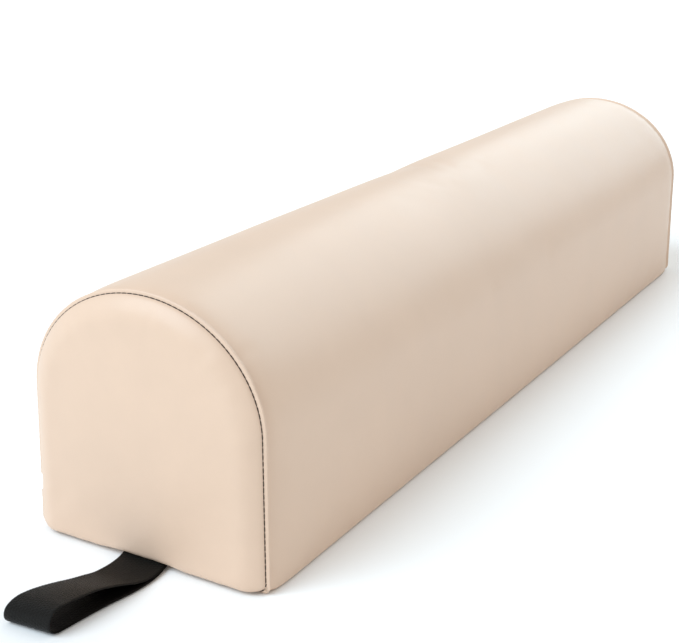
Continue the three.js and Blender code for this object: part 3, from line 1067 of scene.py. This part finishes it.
# The carry loop's middle line: distance out from the seam, place across, and height of the middle at the
# edge nearer the front and at the edge nearer the rear, all in millimetres
LOOP = (
    (-24.0, 1.3, 1.95, 1.95), (-12.0, 1.3, 1.95, 1.95), (-2.0, 1.2, 1.9, 1.9), (3.0, 0.6, 1.3, 1.3),
    (9.0, -0.6, 0.8, 0.8), (16.0, -1.6, 0.75, 0.75), (24.0, -1.6, 0.75, 0.75), (34.0, -0.4, 0.75, 0.75),
    (46.0, 2.0, 0.75, 0.75), (58.0, 3.9, 0.75, 0.75), (68.0, 5.2, 0.75, 0.75), (75.5, 6.1, 0.78, 0.75),
    (80.5, 6.7, 1.0, 0.85), (83.6, 7.2, 2.3, 1.6), (84.9, 7.4, 4.6, 3.2), (85.1, 7.4, 7.4, 5.4),
    (84.2, 7.2, 10.2, 7.9), (81.6, 6.9, 12.3, 9.8), (77.5, 6.4, 13.1, 10.9), (71.0, 5.6, 13.0, 10.8),
    (63.0, 4.6, 12.4, 9.6), (54.0, 3.4, 11.3, 7.6), (45.0, 1.9, 9.3, 5.4), (37.0, 0.5, 6.9, 3.9),
    (30.0, -0.7, 4.6, 2.6), (23.0, -1.5, 2.9, 2.3), (16.0, -1.6, 2.3, 2.2), (9.0, -0.8, 2.25, 2.25),
    (3.0, 0.5, 2.75, 2.75), (-2.0, 1.2, 3.35, 3.35), (-12.0, 1.3, 3.42, 3.42), (-24.0, 1.3, 3.42, 3.42),
)
ROW_STEP = 0.42 * mm  # from one row of points along the webbing to the next
PICK = 1.9 * mm  # length of one rib of the weave


class BOLSTER_OT_carry_loop(bpy.types.Operator):
    """Make the webbing loop in one woven band, from inside the cover round the fold and back"""

    bl_idname = "bolster.carry_loop"
    bl_label = "Carry Loop"

    def execute(self, context):
        settings = context.scene.bolster_webbing
        table = np.array(LOOP) * mm
        chord = distances(table[:, [0, 2]])
        dense = np.linspace(0, chord[-1], 900)
        fine = np.stack([through(dense, chord, table[:, k]) for k in range(4)], -1)
        run = distances(fine[:, :3])
        rows = int(run[-1] / ROW_STEP)
        at = np.linspace(0, run[-1], rows)
        line = sampled(at, run, fine)
        middle = np.stack([-(seam_x + line[:, 0]), line[:, 1], (line[:, 2] + line[:, 3]) / 2], -1)
        skew = soft_step(line[:, 0], 20 * mm, 70 * mm) * 1.6 * mm
        width = np.stack([-skew, np.full(rows, settings.width), line[:, 3] - line[:, 2]], -1)
        width *= (settings.width / np.linalg.norm(width, axis=1))[:, None]
        ahead = unit(np.gradient(middle, axis=0))
        normal = unit(np.cross(width / settings.width, ahead))
        steps = 58
        share = np.linspace(-0.5, 0.5, steps)
        half = settings.thickness / 2
        across = share * settings.width
        cord = np.sqrt(np.abs(np.cos(np.pi * across / settings.cord)))
        cords = np.floor(across / settings.cord + 0.5)
        pick = np.sin(2 * np.pi * at[:, None] / PICK + 2 * np.pi * cords / 2)
        edge = np.sqrt(np.clip(1 - (np.abs(share) * 2) ** 26, 0, 1))
        height = (half * 0.8 + 0.1 * mm * cord[None] + 0.055 * mm * pick) * edge[None]
        face = middle[:, None] + width[:, None] * share[None, :, None] * 0.995
        upper = face + normal[:, None] * height[..., None]
        lower = face - normal[:, None] * height[..., None]
        band = np.concatenate([upper, lower[:, ::-1]], 1)
        columns = 2 * steps
        piece = make_mesh("carry_loop", band, tube_faces(rows, columns), webbing_finish(settings))
        lay = piece.data.attributes.new("lay", "FLOAT_VECTOR", "POINT")
        along = np.broadcast_to(at[:, None], (rows, columns))
        crosswise = np.broadcast_to(np.concatenate([across, across[::-1]]), (rows, columns))
        values = np.stack([along, crosswise, np.zeros((rows, columns))], -1)
        lay.data.foreach_set("vector", values.ravel().astype(np.float32))
        tidy_normals(piece)
        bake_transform(piece)
        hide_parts("carry_strap", "strap_tail_lower", "strap_tail_upper")
        return {"FINISHED"}


WELD = 1e-6  # points closer than this are one


def rounded_box(low, high, bevel, segments=3):
    """A box with rounded edges, as points and faces."""
    work = bmesh.new()
    bmesh.ops.create_cube(work, size=1)
    for corner in work.verts:
        corner.co = Vector((low[k] if corner.co[k] < 0 else high[k]) for k in range(3))
    bmesh.ops.bevel(work, geom=work.edges[:], offset=bevel, segments=segments, profile=0.5, affect="EDGES")
    return taken(work)


def extruded(outline, depth, bevel, segments=2):
    """A flat plate with an outline in X and Z and a depth from one Y to another, with rounded edges."""
    work = bmesh.new()
    bottom = [work.verts.new((x, depth[0], z)) for x, z in outline]
    top_ring = [work.verts.new((x, depth[1], z)) for x, z in outline]
    count = len(outline)
    caps = [work.faces.new(bottom), work.faces.new(top_ring[::-1])]
    for i in range(count):
        work.faces.new([bottom[i], top_ring[i], top_ring[(i + 1) % count], bottom[(i + 1) % count]])
    edges = list({edge for cap in caps for edge in cap.edges})
    bmesh.ops.bevel(work, geom=edges, offset=bevel, segments=segments, profile=0.5, affect="EDGES")
    bmesh.ops.recalc_face_normals(work, faces=work.faces)
    return taken(work)


def taken(work):
    """The points and faces of a mesh in work, which ends there."""
    work.verts.ensure_lookup_table()
    work.verts.index_update()
    points = [tuple(corner.co) for corner in work.verts]
    faces = [[corner.index for corner in face.verts] for face in work.faces]
    work.free()
    return points, faces


def weld(piece):
    """Joins the points of a mesh that lie in one place, and turns its faces outwards."""
    with reworked(piece) as work:
        bmesh.ops.remove_doubles(work, verts=work.verts, dist=WELD)
        bmesh.ops.recalc_face_normals(work, faces=work.faces)


def gather(name, shapes, material):
    """Several closed shapes as one piece."""
    points, faces = [], []
    for more_points, more_faces in shapes:
        start = len(points)
        points += [tuple(point) for point in more_points]
        faces += [[start + corner for corner in face] for face in more_faces]
    piece = make_mesh(name, points, faces, material)
    tidy_normals(piece)
    piece.data.set_sharp_from_angle(angle=math.radians(50))
    return piece


def both_ways(name):
    """The upper and lower zip nodes of a kind, with the way that each lies from the zip's middle."""
    return [(f"{name}_{side}", way) for side, way in (("upper", 1), ("lower", -1))]


class BOLSTER_OT_zip_tapes(bpy.types.Operator):
    """Make the zip's two cloth tapes, each with a corded inner edge"""

    bl_idname = "bolster.zip_tapes"
    bl_label = "Zip Tapes"

    def execute(self, context):
        settings = context.scene.bolster_zip
        middle = zip_middle()
        for node, way in both_ways("zip_tape"):
            low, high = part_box(node)
            near = low.z if way > 0 else high.z
            depth = (high.y - low.y) / 2
            centre = (high.y + low.y) / 2
            inner = middle + way * 0.12 * mm
            reach = high.z - low.z + abs(near - inner)
            places = np.concatenate([np.linspace(0, 2 * mm, 9), np.linspace(2.4 * mm, reach, 12)])
            thick = depth * (0.72 + 0.28 * np.exp(-((places - 0.7 * mm) / (0.6 * mm)) ** 2))
            thick[0] = thick[-1] = depth * 0.25
            z = inner + way * places
            outline = np.concatenate([
                np.stack([centre + thick, z], -1),
                np.stack([centre - thick, z], -1)[::-1],
            ])
            end = seam_x - 0.15 * mm
            x = np.linspace(-end, end, 90)
            rings = Cover.solid(x, np.broadcast_to(outline, (len(x), *outline.shape)))
            faces = tube_faces(len(x), len(outline))
            piece = make_mesh(node.replace("zip_", "zip_cloth_"), rings, faces, tape_finish(settings))
            tidy_normals(piece)
            fit(piece, "cover", "zip_cloth", node)
        return {"FINISHED"}


class BOLSTER_OT_zip_coils(bpy.types.Operator):
    """Wind the zip's two rows of teeth, which mesh along the middle"""

    bl_idname = "bolster.zip_coils"
    bl_label = "Zip Coils"

    def execute(self, context):
        settings = context.scene.bolster_zip
        middle = zip_middle()
        wire = 0.29 * mm
        sides, turn_steps = 6, 14
        for node, way in both_ways("zip_coil"):
            low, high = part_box(node)
            outer = max(abs(low.z - middle), abs(high.z - middle)) - wire
            inner = -0.35 * mm
            centre_y = (low.y + high.y) / 2
            half_y = (high.y - low.y) / 2 - wire
            turns = int((high.x - low.x - 2 * settings.pitch) / settings.pitch)
            phase = np.arange(turns * turn_steps + 1) / turn_steps
            offset = 0 if way > 0 else 0.5
            x = low.x + settings.pitch * (0.75 + offset * 0.5) + phase * settings.pitch
            angle = 2 * np.pi * phase
            squared = np.sign(np.cos(angle)) * np.abs(np.cos(angle)) ** 0.8
            reach = (outer + inner) / 2 + (outer - inner) / 2 * squared
            y = centre_y + half_y * np.sin(angle)
            path = np.stack([x, y, middle + way * reach], -1)
            ahead = unit(np.gradient(path, axis=0))
            side = unit(np.cross(ahead, [1.0, 0.0, 0.0]))
            lift = np.cross(side, ahead)
            spoke = np.linspace(0, 2 * np.pi, sides, endpoint=False)
            points = path[:, None] + wire * (
                side[:, None] * np.cos(spoke)[None, :, None] + lift[:, None] * np.sin(spoke)[None, :, None]
            )
            faces = tube_faces(len(path), sides)
            piece = make_mesh(node.replace("zip_coil", "zip_teeth"), points, faces, coil_finish(settings))
            tidy_normals(piece)
            fit(piece, "cover", "zip_nylon", node)
        return {"FINISHED"}


class BOLSTER_OT_zip_stops(bpy.types.Operator):
    """Clamp the zip's metal stops"""

    bl_idname = "bolster.zip_stops"
    bl_label = "Zip Stops"

    def execute(self, context):
        settings = context.scene.bolster_zip
        for node in ("zip_top_stop_upper", "zip_top_stop_lower", "zip_bottom_stop"):
            low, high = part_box(node)
            piece = gather(node + "_clamp", [rounded_box(low, high, 0.45 * mm, 4)], metal_finish(settings))
            fit(piece, "cover", "zip_metal", node)
        return {"FINISHED"}


class BOLSTER_OT_zip_stitching(bpy.types.Operator):
    """Sew the two rows of top stitching that hold the hems to the zip"""

    bl_idname = "bolster.zip_stitching"
    bl_label = "Zip Stitching"

    def execute(self, context):
        settings, shapes, section = cover_parts(context)
        skin = shapes["skin"]
        x = shapes["cover"].x
        for node, way in both_ways("zip_stitch"):
            low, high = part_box(node)
            height = (low.z + high.z) / 2
            wanted = section.hem_mark if way > 0 else section.strip_mark
            columns = range(wanted - 12, wanted + 1) if way > 0 else range(wanted, wanted + 12)
            column = min(columns, key=lambda k: abs(skin[len(x) // 2, k, 2] - height))
            pitch = 3.1 * mm
            count = int((high.x - low.x - 4 * mm) / pitch)
            at = (np.arange(count) - (count - 1) / 2) * pitch
            y = np.interp(at, x, skin[:, column, 1])
            z = np.interp(at, x, skin[:, column, 2])
            centres = np.stack([at, y + 0.12 * mm, z], -1)
            along = np.broadcast_to(np.array([1.0, 0.0, 0.0]), centres.shape)
            out = np.broadcast_to(np.array([0.0, 1.0, 0.0]), centres.shape)
            name = node.replace("zip_stitch", "zip_stitches")
            length, width, depth = pitch * 0.84, 0.55 * mm, 0.5 * mm
            piece = bead_row(name, centres, along, out, length, width, depth, thread_finish(settings))
            fit(piece, "cover", "thread", node)
        return {"FINISHED"}


class BOLSTER_OT_zip_slider(bpy.types.Operator):
    """Cast the slider: a shield-shaped plate with side flanges and a bridge for the pull"""

    bl_idname = "bolster.zip_slider"
    bl_label = "Zip Slider"

    def execute(self, context):
        settings = context.scene.bolster_zip
        low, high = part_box("zip_slider")
        coil_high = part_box("zip_coil_upper")[1]
        middle = zip_middle()
        centre = (low.x + high.x) / 2
        length, width = high.x - low.x, high.z - low.z
        plate = 1.2 * mm
        face = coil_high.y + 0.3 * mm
        nose, waist, tail = 0.40 * width, 0.5 * width, 0.36 * width
        edge = (
            (-0.5, nose * 0.72), (-0.42, nose), (-0.12, waist), (0.12, waist), (0.44, tail), (0.5, tail * 0.8),
        )
        outline = [(centre + share * length, middle + reach) for share, reach in edge]
        outline += [(x, 2 * middle - z) for x, z in outline[::-1]]
        shapes = [
            extruded(outline, (face, face + plate), 0.35 * mm, 3),
            extruded(outline, (low.y, low.y + plate), 0.35 * mm, 3),
        ]
        for way in (1, -1):
            edge = middle + way * (waist - 0.25 * mm)
            flange_low = (centre - 0.14 * length, face - 1.1 * mm, edge - 0.24 * mm)
            flange_high = (centre + 0.16 * length, face + 0.6 * plate, edge + 0.24 * mm)
            shapes.append(rounded_box(flange_low, flange_high, 0.12 * mm, 2))
        shapes.append(self.bridge(centre, middle, face + plate - 0.2 * mm, high.y))
        piece = gather("zip_slider_cast", shapes, metal_finish(settings))
        fit(piece, "slider", "zip_metal", "zip_slider")
        return {"FINISHED"}

    @staticmethod
    def bridge(centre, middle, foot, crest):
        """An arched strap of metal that stands on the plate."""
        half, bar, side = 3.4 * mm, 1.0 * mm, 0.8 * mm
        turn = np.linspace(0, np.pi, 25)
        square = lambda value: np.sign(value) * np.abs(value) ** 0.45
        leg = 1.15 * mm
        rise = crest - foot
        outer = np.stack([centre - half * square(np.cos(turn)), foot + rise * square(np.sin(turn))], -1)
        inner = np.stack([
            centre - (half - leg) * square(np.cos(turn)), foot + (rise - bar) * square(np.sin(turn)),
        ], -1)
        rings = [
            (outer * (1 - offset) + inner * offset, width * side)
            for offset, width in ((0, 0.86), (0.12, 1.0), (0.88, 1.0), (1, 0.86))
        ]
        loop = [(line, middle + width) for line, width in rings]
        loop += [(line, middle - width) for line, width in rings[::-1]]
        points = np.stack([np.column_stack([line, np.full(len(line), z)]) for line, z in loop], 1)
        return points.reshape(-1, 3), tube_faces(*points.shape[:2])


class BOLSTER_OT_zip_pull(bpy.types.Operator):
    """Stamp the pull tab, with an eye round the bridge and a hole to grip"""

    bl_idname = "bolster.zip_pull"
    bl_label = "Zip Pull"

    def execute(self, context):
        settings = context.scene.bolster_zip
        low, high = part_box("zip_pull")
        middle = (low.z + high.z) / 2
        half = (high.z - low.z) / 2
        pivot = joint_at["pull_flip"]["pos_m"][0]
        end = high.x - half
        near, far = pivot - 0.6 * mm, pivot + 0.6 * mm  # the bar that turns in the bridge
        eye_half, eye_end = 1.35 * mm, pivot + 4.5 * mm
        neck = eye_half + 1.2 * mm
        corner = 0.5 * mm
        hole = 2.4 * mm
        outline = [(near + corner, -neck), (eye_end, -neck)]
        turns = np.linspace(-np.pi / 2, np.pi / 2, 25)
        outline += [(end + half * math.cos(turn), half * math.sin(turn)) for turn in turns]
        outline += [(eye_end, neck), (near + corner, neck), (near, neck - corner), (near, corner - neck)]
        eye = [(far, -eye_half), (eye_end, -eye_half), (eye_end, eye_half), (far, eye_half)]
        turns = np.linspace(0, 2 * np.pi, 33)[:-1]
        grip = [(end + hole * math.cos(turn), hole * math.sin(turn)) for turn in turns]
        points, faces = self.stamped((outline, eye, grip), high.y - low.y)
        centre_y = (low.y + high.y) / 2
        points = [(point.x, centre_y + point.z, middle + point.y) for point in points]
        piece = gather("zip_pull_tab", [(points, faces)], metal_finish(settings))
        weld(piece)
        fit(piece, "pull", "zip_metal", "zip_pull")
        return {"FINISHED"}

    @staticmethod
    def stamped(rings, depth):
        """A flat plate in X and Y: an outline with holes, and a rounded edge all round."""
        edge = 0.22 * mm
        curve = bpy.data.curves.new("zip_pull_tab", "CURVE")
        curve.dimensions = "2D"
        curve.fill_mode = "BOTH"
        curve.extrude = depth / 2 - edge
        curve.bevel_depth = edge
        curve.bevel_resolution = 3
        curve.offset = -edge
        for ring in rings:
            spline = curve.splines.new("POLY")
            spline.points.add(len(ring) - 1)
            for point, (x, z) in zip(spline.points, ring):
                point.co = (x, z, 0, 1)
            spline.use_cyclic_u = True
        holder = bpy.data.objects.new("zip_pull_tab", curve)
        bpy.context.scene.collection.objects.link(holder)
        graph = bpy.context.evaluated_depsgraph_get()
        mesh = bpy.data.meshes.new_from_object(holder.evaluated_get(graph))
        bpy.data.objects.remove(holder)
        points = [corner.co.copy() for corner in mesh.vertices]
        faces = [list(face.vertices) for face in mesh.polygons]
        bpy.data.meshes.remove(mesh)
        return points, faces


FILL_PRESS = (0.984, 0.95, 0.955)  # the filling's share of its cut size along each axis
FILL_FOOT = 1.6 * mm


def settled_fill(place):
    """Where a point of the cut filling ends up once the cover presses it in on every side."""
    along, across, up = FILL_PRESS
    foot = base_low.z + FILL_FOOT
    return Vector((place.x * along, place.y * across, foot + (place.z - base_low.z) * up))


class BOLSTER_OT_filling(bpy.types.Operator):
    """Fill the cover with its foam core and the wadding round it"""

    bl_idname = "bolster.filling"
    bl_label = "Filling"

    def execute(self, context):
        foam, wadding = foam_finish(), wadding_finish()
        for node in ("foam_core", "wadding_wrap", "strap_end_wadding", "plain_end_wadding"):
            solid = frame["nodes"][node]
            piece = bpy.data.objects.new(node.replace("_core", "_block") + "_fill", solid.data.copy())
            context.scene.collection.objects.link(piece)
            piece.data.materials.clear()
            piece.data.materials.append(foam if node == "foam_core" else wadding)
            for corner in piece.data.vertices:
                corner.co = settled_fill(corner.co)
            with reworked(piece) as work:
                bmesh.ops.remove_doubles(work, verts=work.verts, dist=WELD)
                bmesh.ops.dissolve_limit(work, angle_limit=0.02, verts=work.verts, edges=work.edges)
                shared = [edge for edge in work.edges if len(edge.link_faces) == 2]
                sharp = [edge for edge in shared if edge.calc_face_angle(0) > 0.9]
                bmesh.ops.bevel(
                    work, geom=sharp, offset=1.2 * mm, segments=3, profile=0.5, affect="EDGES",
                    clamp_overlap=True,
                )
            fit(piece, "cover", "foam" if node == "foam_core" else "wadding", node)
        return {"FINISHED"}


# Where the camera stands, what it looks at, how far it leans, and its shift as a share of the image's width
EYE = Vector((-0.8251, -0.4038, 0.3553))
AIM = Vector((-0.1304, 0.0, 0.1063))
ROLL = math.radians(0.47)
SHIFT = -50 / 679


class BOLSTER_OT_studio(bpy.types.Operator):
    """Lay the pale floor, set the soft light and stand the camera"""

    bl_idname = "bolster.studio"
    bl_label = "Studio"

    def execute(self, context):
        settings = context.scene.bolster_studio
        scene = context.scene
        ground = Finish("pale_floor", settings.floor, 0.85, Specular_IOR_Level=0.1)
        reach, level = 9.0, -0.2 * mm
        corners = [(x * reach, y * reach, level) for x, y in ((-1, -1), (1, -1), (1, 1), (-1, 1))]
        floor = make_mesh("floor", corners, [[0, 1, 2, 3]], ground.material)
        world = bpy.data.worlds.new("surround")
        world.use_nodes = True
        surround = world.node_tree.nodes["Background"].inputs
        surround["Color"].default_value = (1.0, 0.985, 0.965, 1)
        surround["Strength"].default_value = settings.sky
        scene.world = world
        self.sun("key", settings.key, 44, Vector((-0.62, 0.38, 0.68)), (0.74, 0.88, 1.0))
        self.sun("sheen", settings.sheen, 50, Vector((0.88, -0.05, 0.42)), (0.74, 0.91, 1.0))
        ahead = (AIM - EYE).normalized()
        right = ahead.cross(Vector((0, 0, 1))).normalized()
        up = right.cross(ahead)
        tilted = right * math.cos(ROLL) + up * math.sin(ROLL)
        upright = up * math.cos(ROLL) - right * math.sin(ROLL)
        camera = bpy.data.objects.new("camera", bpy.data.cameras.new("camera"))
        camera.data.lens = settings.lens
        camera.data.sensor_width = 36
        camera.data.shift_y = SHIFT
        camera.data.clip_start = 0.01
        camera.data.clip_end = 60
        turned = Matrix((tilted, upright, -ahead)).transposed().to_4x4()
        camera.matrix_world = Matrix.Translation(EYE) @ turned
        scene.collection.objects.link(camera)
        scene.camera = camera
        scene.view_settings.view_transform = "Standard"
        scene.view_settings.look = "None"
        return {"FINISHED"}

    @staticmethod
    def sun(name, strength, degrees_wide, towards, colour):
        """A soft distant light that comes from a direction."""
        data = bpy.data.lights.new(name, "SUN")
        data.energy = strength
        data.angle = math.radians(degrees_wide)
        data.color = colour
        light = bpy.data.objects.new(name, data)
        light.rotation_euler = towards.to_track_quat("Z", "Y").to_euler()
        bpy.context.scene.collection.objects.link(light)


class BOLSTER_PT_panel(bpy.types.Panel):
    """Lists the bolster's pieces"""

    bl_idname = "BOLSTER_PT_panel"
    bl_label = "Bolster Pillow"
    bl_space_type = "VIEW_3D"
    bl_region_type = "UI"
    bl_category = "Bolster"

    def draw(self, context):
        scene = context.scene
        for settings in (scene.bolster_cover, scene.bolster_webbing, scene.bolster_zip, scene.bolster_studio):
            column = self.layout.column(align=True)
            for name in settings.__annotations__:
                column.prop(settings, name)
        column = self.layout.column(align=True)
        for operator in OPERATORS:
            column.operator(operator.bl_idname)


SETTINGS = {
    "bolster_cover": CoverSettings,
    "bolster_webbing": WebbingSettings,
    "bolster_zip": ZipSettings,
    "bolster_studio": StudioSettings,
}
OPERATORS = (
    BOLSTER_OT_body_panel,
    BOLSTER_OT_rear_strip,
    BOLSTER_OT_base_panel,
    BOLSTER_OT_end_panels,
    BOLSTER_OT_seam_threads,
    BOLSTER_OT_carry_loop,
    BOLSTER_OT_zip_tapes,
    BOLSTER_OT_zip_coils,
    BOLSTER_OT_zip_stops,
    BOLSTER_OT_zip_stitching,
    BOLSTER_OT_zip_slider,
    BOLSTER_OT_zip_pull,
    BOLSTER_OT_filling,
    BOLSTER_OT_studio,
)


def register():
    for kind in (*SETTINGS.values(), *OPERATORS, BOLSTER_PT_panel):
        bpy.utils.register_class(kind)
    for name, kind in SETTINGS.items():
        setattr(bpy.types.Scene, name, PointerProperty(type=kind))


def unregister():
    for name in SETTINGS:
        delattr(bpy.types.Scene, name)
    for kind in (BOLSTER_PT_panel, *reversed(OPERATORS), *reversed(SETTINGS.values())):
        bpy.utils.unregister_class(kind)


def main():
    register()
    for operator in OPERATORS:
        group, action = operator.bl_idname.split(".")
        getattr(getattr(bpy.ops, group), action)()


if __name__ == "__main__":
    main()
